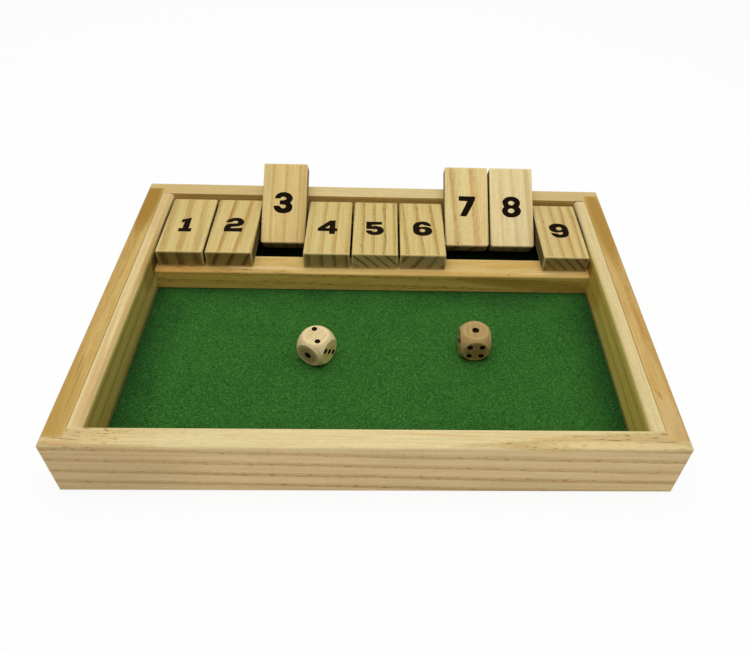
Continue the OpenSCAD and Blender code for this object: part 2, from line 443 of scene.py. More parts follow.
def pine(name, place, wood):
    """Pine with rings, fibres, reddish figure, resin flecks, darker ends, painted face light and lighter
    edges.
    """
    s = Pine(name, place, wood)
    late = s.late_wood()
    fibre = s.grain(0.03, 1.5, 4, 0.6)
    fine = s.grain(0.22, 5.0, 3, 0.7)
    broad = s.grain(0.015, 0.09, 2)
    streaks = s.grain(0.02, 0.7, 3, 0.6)
    pits = s.grain(0.8, 2.6, 2, 0.7)
    tone = s.add(1.0, s.swing(fibre, 0.42), s.swing(fine, 0.5), s.swing(broad, 0.24), s.swing(streaks, 0.3),
                 s.swing(pits, wood.grit))
    colour = s.mix(late, wood.early, wood.late)
    amber = s.mul(s.smooth(broad, 0.45, 0.75), 0.35 + wood.warm)
    colour = s.mix(amber, colour, s.mix(0.5, colour, wood.late))

    # Figure: wavy reddish streaks, a few mm to a few cm long
    figure = s.smooth(s.grain(0.055, 0.42, 3, 0.6, 0.35), 0.50, 0.68)
    colour = s.mix(s.mul(figure, wood.figure), colour, s.times(colour, RUSSET))
    colour = s.shade(colour, tone)

    # Resin flecks: soft dashes, nearly all of them in the late wood
    dash = s.smooth(s.grain(0.24, 1.2, 1.5, 0.6), 0.55, 0.72)
    dash = s.mul(dash, s.add(0.05, s.mul(late, 1.3)), wood.flecks)
    colour = s.mix(s.math("MINIMUM", dash, FLECK_MOST), colour, FLECK)

    end = s.smooth(s.math("ABSOLUTE", s.endways), 0.55, 0.9)
    colour = s.side_faces(s.marked(colour))
    colour = s.worn_and_highlit_edges(s.end_grain(colour, late, end), fine)
    rough = s.add(0.66, s.mul(fine, 0.16), s.mul(end, 0.1))
    height = s.add(s.mul(fibre, 0.5), s.mul(fine, 0.6), s.mul(late, 0.25), s.mul(dash, -0.5))
    s.principled(Base_Color=colour, Roughness=rough, Normal=s.bump(height, 0.12 * MM, 0.5),
                 Specular_IOR_Level=0.10)
    return s.material


# Colours of wood that several pieces share
CREAM = (221, 202, 150)
CREAM_LATE = (180, 146, 88)
AMBER = (198, 167, 100)
AMBER_LATE = (164, 121, 54)
TILE = (206, 184, 121)
TILE_LATE = (166, 129, 65)
REDDISH_END = (1.0, 0.85, 0.58)

# Where a piece's faces lie in its own axes, for the marks on them
BOARD_TOP = 17.5
LINER_TOP = 12
LINER_FACE = 3.4
LINER_FOOT = -12.1
RAIL_TOP = 6.2
RAIL_FRONT = -7.25
TILE_FACE = 5.3
# Where painted face light or shade starts: at the piece's end, or near the rail's back on a liner
WHOLE = -1000
RAIL_BACK = -34
# The tiles get painted shade of the narrow gaps on their sides, darker on those shut in their rest pose
SHUT = {"deep": 0.78, "wear_and_highlight": 1}
OPEN = {"deep": 0.6, "wear_and_highlight": 1}

BOARDS = {
    "front_board": (ALONG_X, Wood(
        CREAM, CREAM_LATE, pith=150, heart=98, spacing=8.3, band=(-5, 11.2), drift=(0, 0.030), wander=1.0,
        contrast=0.68, flecks=1.3, seed=3, crisp=0.48, full=0.84, figure=0.3, grit=0.35,
        # Painted light: the front face lighter
        painted_face_light=(-1, (1.15, 1.07, 1.08), WHOLE), marks=(
            # Streaks along the top's right half
            ((30, 2.4, BOARD_TOP), (26, 1.0, 3), (-0.045, 0), (212, 174, 116), 0.55),
            ((75, 0.9, BOARD_TOP), (34, 1.1, 3), (-0.045, 0), (210, 176, 116), 0.4),
            ((110, -3.0, BOARD_TOP), (44, 3.2, 3), (-0.02, 0), (234, 212, 156), 0.55),
            ((70, 3.0, BOARD_TOP), (60, 0.5, 2), (-0.03, 0), (205, 172, 116), 0.35),
            # Fine dark checks
            ((107.5, 0.1, BOARD_TOP), (4.5, 0.35, 1), (-0.04, 0), (140, 98, 46), 0.85),
            ((131, -0.8, BOARD_TOP), (6.5, 0.25, 1), (-0.02, 0), (116, 82, 40), 0.7),
            ((-132, -0.7, BOARD_TOP), (8, 0.3, 1), (-0.12, 0), (140, 100, 50), 0.7),
            # A darker left end, on the top and on the front
            ((-118, -4.0, BOARD_TOP), (34, 0.9, 3), (-0.012, 0), (196, 160, 106), 0.55),
            ((-134, -2.9, BOARD_TOP), (12, 1.6, 4), (-0.02, 0), (192, 154, 98), 0.5),
            ((-140, -5, 1), (80, 3, 30), (0, 0), (166, 140, 98), 0.3)))),
    "back_board": (ALONG_X, Wood(
        (211, 190, 136), (176, 141, 84), pith=120, heart=80, spacing=6.5, band=(5, 6), drift=(0, 0.01),
        # Painted light: the inner face lighter and yellower
        contrast=0.5, seed=5, figure=0.5, painted_face_light=(-1, (1.24, 1.05, 0.62), WHOLE), marks=(
            # Darker ends of the top, and painted shade in the crevices beside the liners
            ((-108, 0, BOARD_TOP), (56, 9, 4), (0, 0), (194, 164, 104), 0.5),
            ((116, 0, BOARD_TOP), (44, 9, 4), (0, 0), (194, 164, 106), 0.5),
            ((-129, -5.6, 16.9), (3.6, 0.4, 1.2), (0, 0), (70, 50, 22), 0.7),
            ((129, -5.6, 16.9), (3.8, 0.5, 1.6), (0, 0), (60, 42, 18), 0.85)))),
    "left_board": (TOWARDS_FRONT, Wood(
        AMBER, AMBER_LATE, pith=60, heart=250, spacing=5.5, band=(1, 17), drift=(0.012, 0), wander=2.5,
        contrast=0.45, seed=7, warm=0.1, figure=0.75, flecks=0.8, marks=(
            # Streaks, then broad tones, then the line along the liner
            ((52, -0.6, BOARD_TOP), (9, 0.55, 2), (0.03, 0), (140, 100, 42), 0.6),
            ((66, 1.2, BOARD_TOP), (22, 0.8, 2), (0.02, 0), (160, 118, 54), 0.5),
            ((-60, -2.6, BOARD_TOP), (16, 1.0, 3), (0.10, 0), (150, 108, 40), 0.5),
            ((-80, 0, BOARD_TOP), (40, 7, 20), (0, 0), (154, 116, 42), 0.85),
            ((76, 0, BOARD_TOP), (34, 7, 20), (0.02, 0), (178, 142, 68), 0.5),
            ((0, 5, 17.2), (95, 0.4, 1.4), (0, 0), (96, 70, 34), 0.45)))),
    "right_board": (TOWARDS_FRONT, Wood(
        (201, 168, 103), AMBER_LATE, pith=70, heart=290, spacing=6, band=(-1, 17), drift=(-0.01, 0),
        wander=2.5, contrast=0.42, seed=9, warm=0.1, figure=0.7, flecks=0.8, marks=(
            # Streaks, then broad tones, then the line along the liner
            ((68, -1.8, BOARD_TOP), (3.5, 0.5, 1.5), (0.08, 0), (130, 90, 38), 0.7),
            ((20, 1.5, BOARD_TOP), (16, 1.2, 3), (0.02, 0), (176, 130, 60), 0.5),
            ((-66, 0, BOARD_TOP), (50, 7, 20), (0.02, 0), (160, 122, 48), 0.75),
            ((86, 0, BOARD_TOP), (24, 7, 20), (0, 0), (210, 182, 130), 0.4),
            ((0, -5, 17.2), (95, 0.4, 1.4), (0, 0), (96, 70, 34), 0.45)))),
    "left_liner": (TOWARDS_FRONT, Wood(
        (219, 196, 142), (178, 140, 76), pith=90, heart=95, spacing=8, band=(3.0, 6.4), contrast=0.6,
        # Painted shade and green felt bounce: the inner face darker and olive, from near the rail's back to
        # the front
        seed=11, figure=0.6, painted_face_light=(1, (0.76, 0.80, 0.42), RAIL_BACK - 18), marks=(
            # Streaks along the top
            ((0, 1.9, LINER_TOP), (120, 1.3, 3), (0, 0), (186, 150, 90), 0.6),
            ((66, 0.2, LINER_TOP), (34, 1.6, 3), (0.01, 0), (198, 158, 104), 0.5),
            ((50, -1.5, LINER_TOP), (60, 1.2, 3), (0.01, 0), (200, 166, 112), 0.45),
            # Shade on the inner face: beside the tiles, by tile 1's end, and in front of the rail
            ((-62, LINER_FACE, 2), (38, 0.8, 12.5), (0, 0), (58, 34, 10), 0.85),
            ((-31, LINER_FACE, 2.5), (6, 1.2, 9), (0, 0), (100, 54, 20), 0.85),
            ((-20, LINER_FACE, 4), (12, 1.4, 10), (0, 0), (150, 104, 40), 0.45),
            # The top's inner edge near the rail, and its back part
            ((-30, 2.6, LINER_TOP), (32, 1.6, 3), (0, 0), (176, 146, 72), 0.65),
            ((-70, 0, 12.6), (34, 6, 2.5), (0, 0), (196, 164, 104), 0.5),
            # Green cast and shade at the felt
            ((0, LINER_FACE, LINER_FOOT), (300, 2, 2.6), (0, 0), (48, 64, 26), 0.8)))),
    "right_liner": (TOWARDS_FRONT, Wood(
        (213, 194, 140), (176, 142, 80), pith=90, heart=85, spacing=8.5, band=(-3.4, 5.0), contrast=0.5,
        # Painted shade and green felt bounce: the inner face yellower, from near the rail's back to the
        # front
        seed=13, figure=0.3, painted_face_light=(-1, (1.02, 1.02, 0.48), RAIL_BACK - 16), marks=(
            # Shade on the inner face, a streak along its upper edge, and painted shade by tile 9's end and
            # in front of the rail
            ((-64, -LINER_FACE, 2), (36, 0.8, 11.5), (0, 0), (70, 44, 16), 0.75),
            ((30, -3.2, 11), (70, 0.9, 2.2), (0, 0), (150, 134, 62), 0.5),
            ((-31, -LINER_FACE, 3.5), (4, 1.2, 8), (0, 0), (104, 62, 26), 0.75),
            ((-22, -LINER_FACE, 0), (22, 1.2, 14), (0, 0), (180, 132, 56), 0.5),
            # Green cast and shade at the felt
            ((0, -LINER_FACE, LINER_FOOT), (300, 2, 2.6), (0, 0), (48, 64, 26), 0.8)))),
    "rest_rail": (ALONG_X, Wood(
        (203, 174, 108), (164, 122, 56), pith=110, heart=265, spacing=7, band=(0, 4), drift=(0, 0.02),
        wander=2.6, contrast=0.5, flecks=2.2, seed=15, figure=0.9, grit=0.8,
        # Painted light: the front face lighter and yellower
        painted_face_light=(-1, (1.16, 1.13, 0.73), WHOLE), marks=(
            # A dark wedge of grain in the right of the front face
            ((92, RAIL_FRONT, -0.4), (54, 2, 4.8), (0, -0.08), (140, 108, 44), 0.6),
            # Golden and pale streaks along the top, and a small knot
            ((88, 2.6, RAIL_TOP), (34, 3, 2), (0.06, 0), (192, 150, 66), 0.55),
            ((20, 3.0, RAIL_TOP), (60, 3, 2), (0.01, 0), (190, 152, 80), 0.35),
            ((56, -6.0, RAIL_TOP), (74, 1.6, 3), (0, 0), (196, 150, 68), 0.5),
            ((70, 5.2, RAIL_TOP), (18, 1.0, 2), (0.06, 0), (186, 144, 66), 0.5),
            ((96, -4.6, RAIL_TOP), (14, 1.2, 2), (0.02, 0), (226, 202, 140), 0.5),
            ((40, -2.0, RAIL_TOP), (40, 2.0, 2), (0.02, 0), (220, 190, 126), 0.35),
            ((-60, -3.0, RAIL_TOP), (30, 1.6, 2), (-0.02, 0), (222, 196, 146), 0.5),
            ((-114, -5.5, RAIL_TOP), (24, 2.6, 3), (0, 0), (196, 146, 60), 0.6),
            ((78, -6.0, RAIL_TOP), (0.5, 0.9, 1), (0, 0), (110, 74, 34), 0.8)))),
    "base_panel": (ALONG_X, Wood(
        (202, 172, 116), (170, 130, 78), pith=180, heart=268, spacing=1.8, drift=(0, 0.006),
        wander=3, contrast=0.7, flecks=0.4, seed=17)),
}

TILES = {
    1: Wood(TILE, TILE_LATE, pith=140, heart=5, spacing=9.0, band=(-2.6, TILE_FACE), drift=(-0.045, 0),
            contrast=0.55, seed=21, crisp=0.4, full=0.72, end_tone=0.48, end_tint=REDDISH_END, **SHUT),
    2: Wood(TILE, (162, 122, 56), pith=90, heart=335, spacing=8.0, band=(-4.6, TILE_FACE), drift=(0.06, 0),
            contrast=0.8, seed=22, crisp=0.55, end_tone=0.46, end_tint=REDDISH_END, **SHUT),
    3: Wood((217, 191, 128), (190, 150, 76), pith=140, heart=356, spacing=8.0, band=(-7.6, -TILE_FACE),
            contrast=0.65, seed=23, flecks=0.2, crisp=0.6, **OPEN, marks=(
                ((0, 12.4, -TILE_FACE), (60, 2.6, 3), (0.02, 0), (190, 152, 88), 0.6),)),
    4: Wood((204, 184, 122), (174, 138, 70), pith=140, heart=180, spacing=7.7, band=(-2.3, TILE_FACE),
            drift=(0.01, 0), contrast=0.62, seed=24, flecks=0.3, **SHUT),
    5: Wood((205, 183, 119), (160, 128, 64), pith=80, heart=225, spacing=4.25, band=(-0.6, TILE_FACE),
            contrast=0.8, seed=25, flecks=1.3, wander=1.3, figure=0.2, crisp=0.5, end_tone=0.66,
            end_tint=(0.96, 0.98, 0.96), **SHUT),
    6: Wood((207, 185, 121), (164, 128, 66), pith=80, heart=150, spacing=7.4, band=(-0.8, TILE_FACE),
            drift=(-0.055, 0), contrast=0.7, seed=26, flecks=1.1, figure=0.2, crisp=0.5, end_tone=0.58,
            end_tint=(0.96, 0.94, 0.92), **SHUT, marks=(
                ((0, 7.5, TILE_FACE), (60, 1.2, 3), (0.055, 0), (156, 120, 60), 0.4),)),
    7: Wood((226, 204, 144), (194, 154, 86), pith=120, heart=20, spacing=11.0, band=(-8.3, -TILE_FACE),
            drift=(0.07, 0), contrast=0.75, seed=27, flecks=0.7, grit=0.6, crisp=0.5, **OPEN),
    8: Wood((229, 210, 158), (194, 158, 98), pith=120, heart=10, spacing=8.3, band=(-7.2, -TILE_FACE),
            drift=(0.06, 0), contrast=0.46, seed=28, flecks=0.3, **OPEN, marks=(
                ((0, 10.5, -TILE_FACE), (60, 2.2, 3), (-0.05, 0), (194, 160, 98), 0.4),)),
    9: Wood((206, 184, 124), (160, 122, 60), pith=80, heart=222, spacing=4.5, band=(-1.3, TILE_FACE),
            drift=(-0.01, 0), contrast=0.72, seed=29, crisp=0.45, end_tone=0.52,
            end_tint=(0.96, 0.90, 0.70), **SHUT),
}

BOARD_BEVEL = 0.3
TILE_BEVEL = 0.2
SHARP_ANGLE = 50
WELD_DISTANCE = 0.002


def soften(obj, width):
    """Breaks the sharp edges, as sandpaper does, and leaves the moulded ones alone."""
    weld = obj.modifiers.new("weld", "WELD")
    weld.merge_threshold = WELD_DISTANCE * MM
    bevel = obj.modifiers.new("sanded_edges", "BEVEL")
    bevel.width = width * MM
    bevel.segments = 2
    bevel.limit_method = "ANGLE"
    bevel.angle_limit = math.radians(SHARP_ANGLE)
    bevel.harden_normals = True


def dress(node, material):
    """Gives a CAD node this material alone."""
    obj = frame["nodes"][node]
    obj.data.materials.clear()
    obj.data.materials.append(material)
    return obj


def make_boards():
    for node, (turn, wood) in BOARDS.items():
        soften(dress(node, pine(node + "_wood", board_place(node, turn), wood)), BOARD_BEVEL)


def make_tiles():
    for number, wood in TILES.items():
        node = f"tile_{number}"
        soften(dress(node, pine(node + "_wood", tile_place(number), wood)), TILE_BEVEL)


# ---------------------------------------------------------------- printed numbers

# Outlines of bold digits, 11 mm wide and 13 mm high. A point is (x, y), and one that a curve runs through
# smoothly has a third item.
ROUND = True


def oval(x, y, half_w, half_h):
    return [(x + half_w, y, ROUND), (x, y + half_h, ROUND), (x - half_w, y, ROUND), (x, y - half_h, ROUND)]


DIGITS = {
    1: [[(-4.6, -6.6), (2.9, -6.6), (2.9, -3.4), (1.1, -3.4), (1.0, 6.8), (0.3, 6.7), (-2.2, 5.6, ROUND),
         (-4.3, 5.0), (-4.2, 1.9), (-3.7, 1.9), (-2.45, 2.8), (-2.45, -3.4), (-4.6, -3.4)]],
    2: [[(-6.0, 2.9), (-5.4, 4.9, ROUND), (-3.6, 6.6, ROUND), (-0.1, 7.5, ROUND), (3.1, 6.4, ROUND),
         (4.75, 3.1, ROUND), (4.1, 0.7, ROUND), (3.0, -0.3, ROUND), (0.7, -1.1, ROUND), (-2.0, -1.6, ROUND),
         (-2.5, -2.1, ROUND), (-2.0, -2.6), (4.6, -2.1), (4.6, -5.9), (-6.0, -5.9), (-6.15, -3.2, ROUND),
         (-5.5, 0.2, ROUND), (-3.7, 1.5, ROUND), (-1.2, 1.95, ROUND), (0.5, 2.1, ROUND), (1.15, 3.1, ROUND),
         (0.6, 4.05, ROUND), (-0.7, 4.3, ROUND), (-1.9, 3.9, ROUND), (-2.4, 3.1)]],
    3: [[(-5.9, 2.75), (-5.4, 4.2, ROUND), (-3.9, 5.9, ROUND), (-0.6, 6.9, ROUND), (2.6, 6.2, ROUND),
         (4.6, 4.3, ROUND), (4.9, 2.3, ROUND), (3.6, 0.05), (4.7, -1.3, ROUND), (4.95, -3.0, ROUND),
         (4.2, -5.0, ROUND), (2.0, -6.3, ROUND), (-1.0, -6.65, ROUND), (-4.2, -5.8, ROUND),
         (-6.1, -3.6, ROUND), (-6.4, -1.9), (-3.0, -1.85), (-2.4, -2.5, ROUND), (-1.5, -3.3, ROUND),
         (-0.4, -3.45, ROUND), (0.8, -2.9, ROUND), (0.9, -1.8, ROUND), (0.1, -1.2, ROUND), (-1.2, -1.1),
         (-2.8, -1.1), (-2.8, 1.55), (-0.6, 1.75), (0.7, 2.1, ROUND), (1.1, 2.8, ROUND), (0.4, 3.6, ROUND),
         (-1.0, 3.85, ROUND), (-2.1, 3.3, ROUND), (-2.5, 2.75)]],
    4: [[(0.5, 6.6), (3.8, 6.5), (3.8, -0.8), (5.2, -1.3), (5.2, -4.0), (3.9, -4.0), (3.8, -6.6),
         (0.5, -6.6), (0.4, -4.0), (-6.4, -3.9), (-6.4, -1.1)], [(0.4, -1.0), (0.4, 1.7), (-2.1, -1.0)]],
    5: [[(-5.6, 6.0), (3.95, 6.0), (3.95, 3.25), (-1.9, 2.9), (-2.4, 2.35, ROUND), (-1.9, 1.75),
         (1.0, 1.85, ROUND), (3.6, 0.7, ROUND), (5.0, -1.8, ROUND), (4.5, -4.5, ROUND), (2.4, -6.4, ROUND),
         (-0.7, -6.95, ROUND), (-3.7, -6.1, ROUND), (-5.4, -4.1, ROUND), (-5.7, -2.5), (-2.6, -2.4),
         (-1.8, -3.3, ROUND), (-0.5, -4.0, ROUND), (0.8, -3.3, ROUND), (1.1, -2.2, ROUND),
         (0.4, -1.35, ROUND), (-1.0, -1.25), (-5.5, -1.25)]],
    6: [[(5.65, 2.15), (5.4, 3.9, ROUND), (4.0, 6.0, ROUND), (1.9, 6.95, ROUND), (-0.8, 6.9, ROUND),
         (-3.7, 5.5, ROUND), (-5.1, 2.9, ROUND), (-5.35, -0.8, ROUND), (-4.8, -4.2, ROUND),
         (-3.0, -6.0, ROUND), (0.2, -6.85, ROUND), (3.5, -6.2, ROUND), (5.7, -4.1, ROUND),
         (6.1, -1.7, ROUND), (5.2, 0.7, ROUND), (3.2, 1.8, ROUND), (0.9, 1.95, ROUND), (-1.5, 1.5),
         (-1.45, 2.7, ROUND), (-0.7, 3.7, ROUND), (0.6, 3.9, ROUND), (1.9, 3.15)],
         oval(0.2, -1.8, 1.75, 1.5)],
    7: [[(-4.8, 6.5), (5.4, 6.35), (5.4, 5.0, ROUND), (4.6, 2.8, ROUND), (0.0, -6.2), (-0.5, -6.6),
         (-4.1, -6.3), (0.45, 3.2), (-4.8, 3.5)]],
    8: [[(-0.1, 6.8, ROUND), (-3.4, 5.9, ROUND), (-5.3, 3.4, ROUND), (-5.0, 1.4, ROUND), (-4.4, 0.3),
         (-5.5, -1.4, ROUND), (-5.6, -3.3, ROUND), (-3.8, -5.7, ROUND), (0.1, -6.7, ROUND),
         (4.2, -5.5, ROUND), (6.0, -2.9, ROUND), (5.6, -0.9, ROUND), (4.6, 0.2), (5.4, 1.6, ROUND),
         (5.5, 3.5, ROUND), (3.7, 5.9, ROUND)], oval(0.1, 2.6, 1.85, 1.4), oval(-0.05, -2.4, 2.0, 1.45)],
}
# A 9 is the 6 turned half round and moved by this
NINE_SHIFT = Vector((0.55, 0.55, 0))
# How far a number sits off its face's middle: towards the free end on the upper face, and to the right
TOWARDS_FREE_END = 0.55
TO_THE_RIGHT = {1: 0.3, 2: 0.3, 8: -0.25, 9: -0.5}
# How far the ink stands above the wood and reaches into it
INK_RAISE = 0.03
INK_SINK = 0.02
SAME_POINT = 0.0005


def outline(curve, points):
    """Adds a closed outline to a curve, straight at plain points and smooth at the ROUND ones."""
    spline = curve.splines.new("BEZIER")
    spline.bezier_points.add(len(points) - 1)
    spline.use_cyclic_u = True
    spline.resolution_u = 10
    for knot, point in zip(spline.bezier_points, points):
        knot.co = (point[0], point[1], 0)
        kind = "AUTO" if len(point) == 3 else "VECTOR"
        knot.handle_left_type = kind
        knot.handle_right_type = kind


def digit_mesh(number):
    """The printed digit as a thin closed plate, in mm, with its face upwards."""
    if number == 9:
        mesh = digit_mesh(6)
        mesh.transform(Matrix.Translation(NINE_SHIFT) @ Matrix.Rotation(math.pi, 4, "Z"))
        return mesh
    curve = bpy.data.curves.new("digit", "CURVE")
    curve.dimensions = "2D"
    curve.fill_mode = "BOTH"
    curve.extrude = (INK_RAISE + INK_SINK) / 2
    for points in DIGITS[number]:
        outline(curve, points)
    shaped = add_object("digit", curve)
    mesh = bpy.data.meshes.new_from_object(shaped)
    bpy.data.objects.remove(shaped)
    bpy.data.curves.remove(curve)
    return mesh


def ink_material():
    """Printer's black on wood: slightly uneven, and a little thinner where the fibres stand up."""
    material = bpy.data.materials.new("black_ink")
    s = Shader(material)
    at = s.node("TexCoord").outputs["Object"]
    x, y, z = s.split(at)
    uneven = s.noise(at, 900, 4, 0.6)
    streaks = s.noise(s.vector(s.mul(x, 1800), s.mul(y, 90), s.mul(z, 90)), 1.0, 3, 0.6)
    thin = s.smooth(s.add(s.mul(uneven, 0.5), s.mul(streaks, 0.5)), 0.56, 0.72)
    colour = s.mix(s.mul(thin, 0.2), srgb(20, 12, 3), srgb(66, 50, 26))
    rough = s.add(0.60, s.mul(uneven, 0.2))
    s.principled(Base_Color=colour, Roughness=rough, Normal=s.bump(uneven, 0.03 * MM, 0.4),
                 Specular_IOR_Level=0.03)
    return material


def make_numbers(ink):
    """One number on each broad face of a tile. It reads upright from the front, shut or open."""
    for number in range(1, TILE_COUNT + 1):
        place = tile_place(number)
        half_t = place.half.z / MM
        faces = []
        for side in (1, -1):
            up = Vector((-side, 0, 0))
            right = Vector((0, 1, 0))
            out = Vector((0, 0, side))
            spot = out * (half_t + (INK_RAISE - INK_SINK) / 2) + right * TO_THE_RIGHT.get(number, 0)
            if side == 1:
                spot -= up * TOWARDS_FREE_END
            pose = Matrix((right, up, out)).transposed().to_4x4()
            mesh = digit_mesh(number)
            mesh.transform(Matrix.Translation(spot) @ pose)
            faces.append(mesh)
        joined = bmesh.new()
        for mesh in faces:
            joined.from_mesh(mesh)
            bpy.data.meshes.remove(mesh)
        bmesh.ops.remove_doubles(joined, verts=joined.verts, dist=SAME_POINT)
        bmesh.ops.recalc_face_normals(joined, faces=joined.faces)
        mesh = bpy.data.meshes.new(f"tile_{number}_numbers")
        joined.to_mesh(mesh)
        joined.free()
        mesh.transform(place.matrix @ Matrix.Scale(MM, 4))
        mesh.materials.append(ink)
        piece = add_object(mesh.name, mesh)
        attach(piece, f"tile_{number}")


# ---------------------------------------------------------------- dice

DIE_BALL_R = 10.5
# The die's turn and its grain's, in degrees, its pips on (top, front, right), and its wood
DICE = {
    "die_left": (-30.6, -120.6, (2, 1, 3), Wood(
        (219, 199, 150), (192, 156, 104), pith=16, heart=200, spacing=2.6, wander=0.5, contrast=0.35,
        flecks=0.3, end_tone=0.60, end_tint=(0.96, 0.92, 0.78), seed=41, figure=0.4,
        # Painted light: the right face lighter and yellower
        painted_face_light=(1, (1.14, 1.14, 0.82), WHOLE), grit=0.9, wear_and_highlight=1, ball=DIE_BALL_R)),
    "die_right": (1.0, 91.0, (1, 4, 2), Wood(
        (170, 144, 93), (143, 108, 59), pith=18, heart=60, spacing=2.2, wander=0.5, contrast=0.4,
        flecks=0.5, end_tone=0.80, end_tint=(0.96, 0.98, 0.86), seed=42, figure=0.8, grit=0.9, wear_and_highlight=1,
        ball=DIE_BALL_R)),
}
# A pip's distance from the face's middle along each side, its radius, and the single pip's radius
PIP_OFFSET = 3.2
PIP_R = 1.35
ACE_PIP_R = 1.75
# The drilled dent's depth, how far the paint laps over its rim, and the paint's thickness above and below
PIP_DEPTH = 0.5
PIP_RIM = 0.12
PAINT = 0.03
PIP_RINGS = 6
PIP_SPOKES = 28


def pip_places(count):
    """Where a face's pips sit, in steps of PIP_OFFSET."""
    places = [(0, 0)] if count % 2 else []
    if count > 1:
        places += [(-1, 1), (1, -1)]
    if count > 3:
        places += [(-1, -1), (1, 1)]
    if count == 6:
        places += [(-1, 0), (1, 0)]
    return places


def pip_mesh(joined, radius, pose, rng):
    """A thin coat of paint that lines a drilled dent and laps a little over its rim.

    pose places it, and rng makes the lap uneven."""
    # The radius of the ball that cuts a dent this wide and this deep
    ball = (radius ** 2 + PIP_DEPTH ** 2) / (2 * PIP_DEPTH)
    lap = [1 + rng.uniform(-0.25, 0.5) for _ in range(PIP_SPOKES)]
    lap = [(lap[i - 1] + lap[i] + lap[(i + 1) % PIP_SPOKES]) / 3 for i in range(PIP_SPOKES)]
    turns = [Matrix.Rotation(2 * math.pi * i / PIP_SPOKES, 3, "Z") for i in range(PIP_SPOKES)]

    def dent(r):
        return ball - PIP_DEPTH - math.sqrt(ball ** 2 - r ** 2)

    def shell(rise):
        middle = joined.verts.new(pose @ Vector((0, 0, dent(0) + rise)))
        loops = []
        for ring in range(1, PIP_RINGS + 1):
            r = radius * ring / PIP_RINGS
            loops.append([Vector((r, 0, dent(r) + rise)) for _ in range(PIP_SPOKES)])
        loops.append([Vector((radius + PIP_RIM * reach, 0, rise)) for reach in lap])
        rows = []
        for loop in loops:
            turned = [turn @ point for turn, point in zip(turns, loop)]
            rows.append([joined.verts.new(pose @ point) for point in turned])
        return middle, rows

    top, bottom = shell(PAINT), shell(-PAINT)
    for (middle, rows), flip in ((top, False), (bottom, True)):
        for i in range(PIP_SPOKES):
            k = (i + 1) % PIP_SPOKES
            faces = [(middle, rows[0][i], rows[0][k])]
            faces += [(a[i], b[i], b[k], a[k]) for a, b in zip(rows, rows[1:])]
            for face in faces:
                joined.faces.new(face[::-1] if flip else face)
    upper, lower = top[1][-1], bottom[1][-1]
    for i in range(PIP_SPOKES):
        k = (i + 1) % PIP_SPOKES
        joined.faces.new((upper[i], lower[i], lower[k], upper[k]))


def make_dice(ink):
    """Wooden dice with black painted pips. Opposite faces add up to seven."""
    for node, (turn, grain_turn, (top, front, right), wood) in DICE.items():
        low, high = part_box(node)
        half_w = (high.z - low.z) / 2
        half = Vector((half_w,) * 3)
        place, grain = [Place((low + high) / 2, Matrix.Rotation(math.radians(angle), 3, "Z"), half)
                        for angle in (turn, grain_turn)]
        dress(node, pine(node + "_wood", grain, wood))
        quarter = math.radians(90)
        sides = [
            (top, Euler((0, 0, 0))), (7 - top, Euler((2 * quarter, 0, 0))),
            (front, Euler((quarter, 0, 0))), (7 - front, Euler((quarter, 0, 2 * quarter))),
            (right, Euler((quarter, 0, quarter))), (7 - right, Euler((quarter, 0, 3 * quarter))),
        ]
        rng = random.Random(node)
        joined = bmesh.new()
        for count, aim in sides:
            for px, py in pip_places(count):
                spot = Matrix.Translation((px * PIP_OFFSET, py * PIP_OFFSET, half_w / MM))
                pip_mesh(joined, ACE_PIP_R if count == 1 else PIP_R, aim.to_matrix().to_4x4() @ spot, rng)
        mesh = bpy.data.meshes.new(node + "_pips")
        joined.to_mesh(mesh)
        joined.free()
        mesh.transform(place.matrix @ Matrix.Scale(MM, 4))
        mesh.shade_smooth()
        mesh.materials.append(ink)
        piece = add_object(mesh.name, mesh)
        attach(piece, node)


# ---------------------------------------------------------------- felt

FELT_CELL = 1.5
FELT_DIP = 0.14
# The felt's open part: half its width, its front edge, and its back edge at the rail
OPEN_HALF_W, OPEN_FRONT, OPEN_BACK = 125.5, -88.9, 27.6
# How far from the walls the felt is darker with painted shade, and how much less that reach is at the rail
WALL_SHADE_REACH = 27
RAIL_EASE = 6
WALL_SHADE = (0.48, 0.52, 0.66)
HIDDEN_SHADE = 0.85

FIBRE_SEED = 5
FIBRE_COUNT = 3500
FIBRE_R = 0.022
FIBRE_JOINTS = 5
# How far the loose fibres start below the felt's top, and how far they keep from its open part's edges
FIBRE_SINK = 0.06
FIBRE_MARGIN = 2


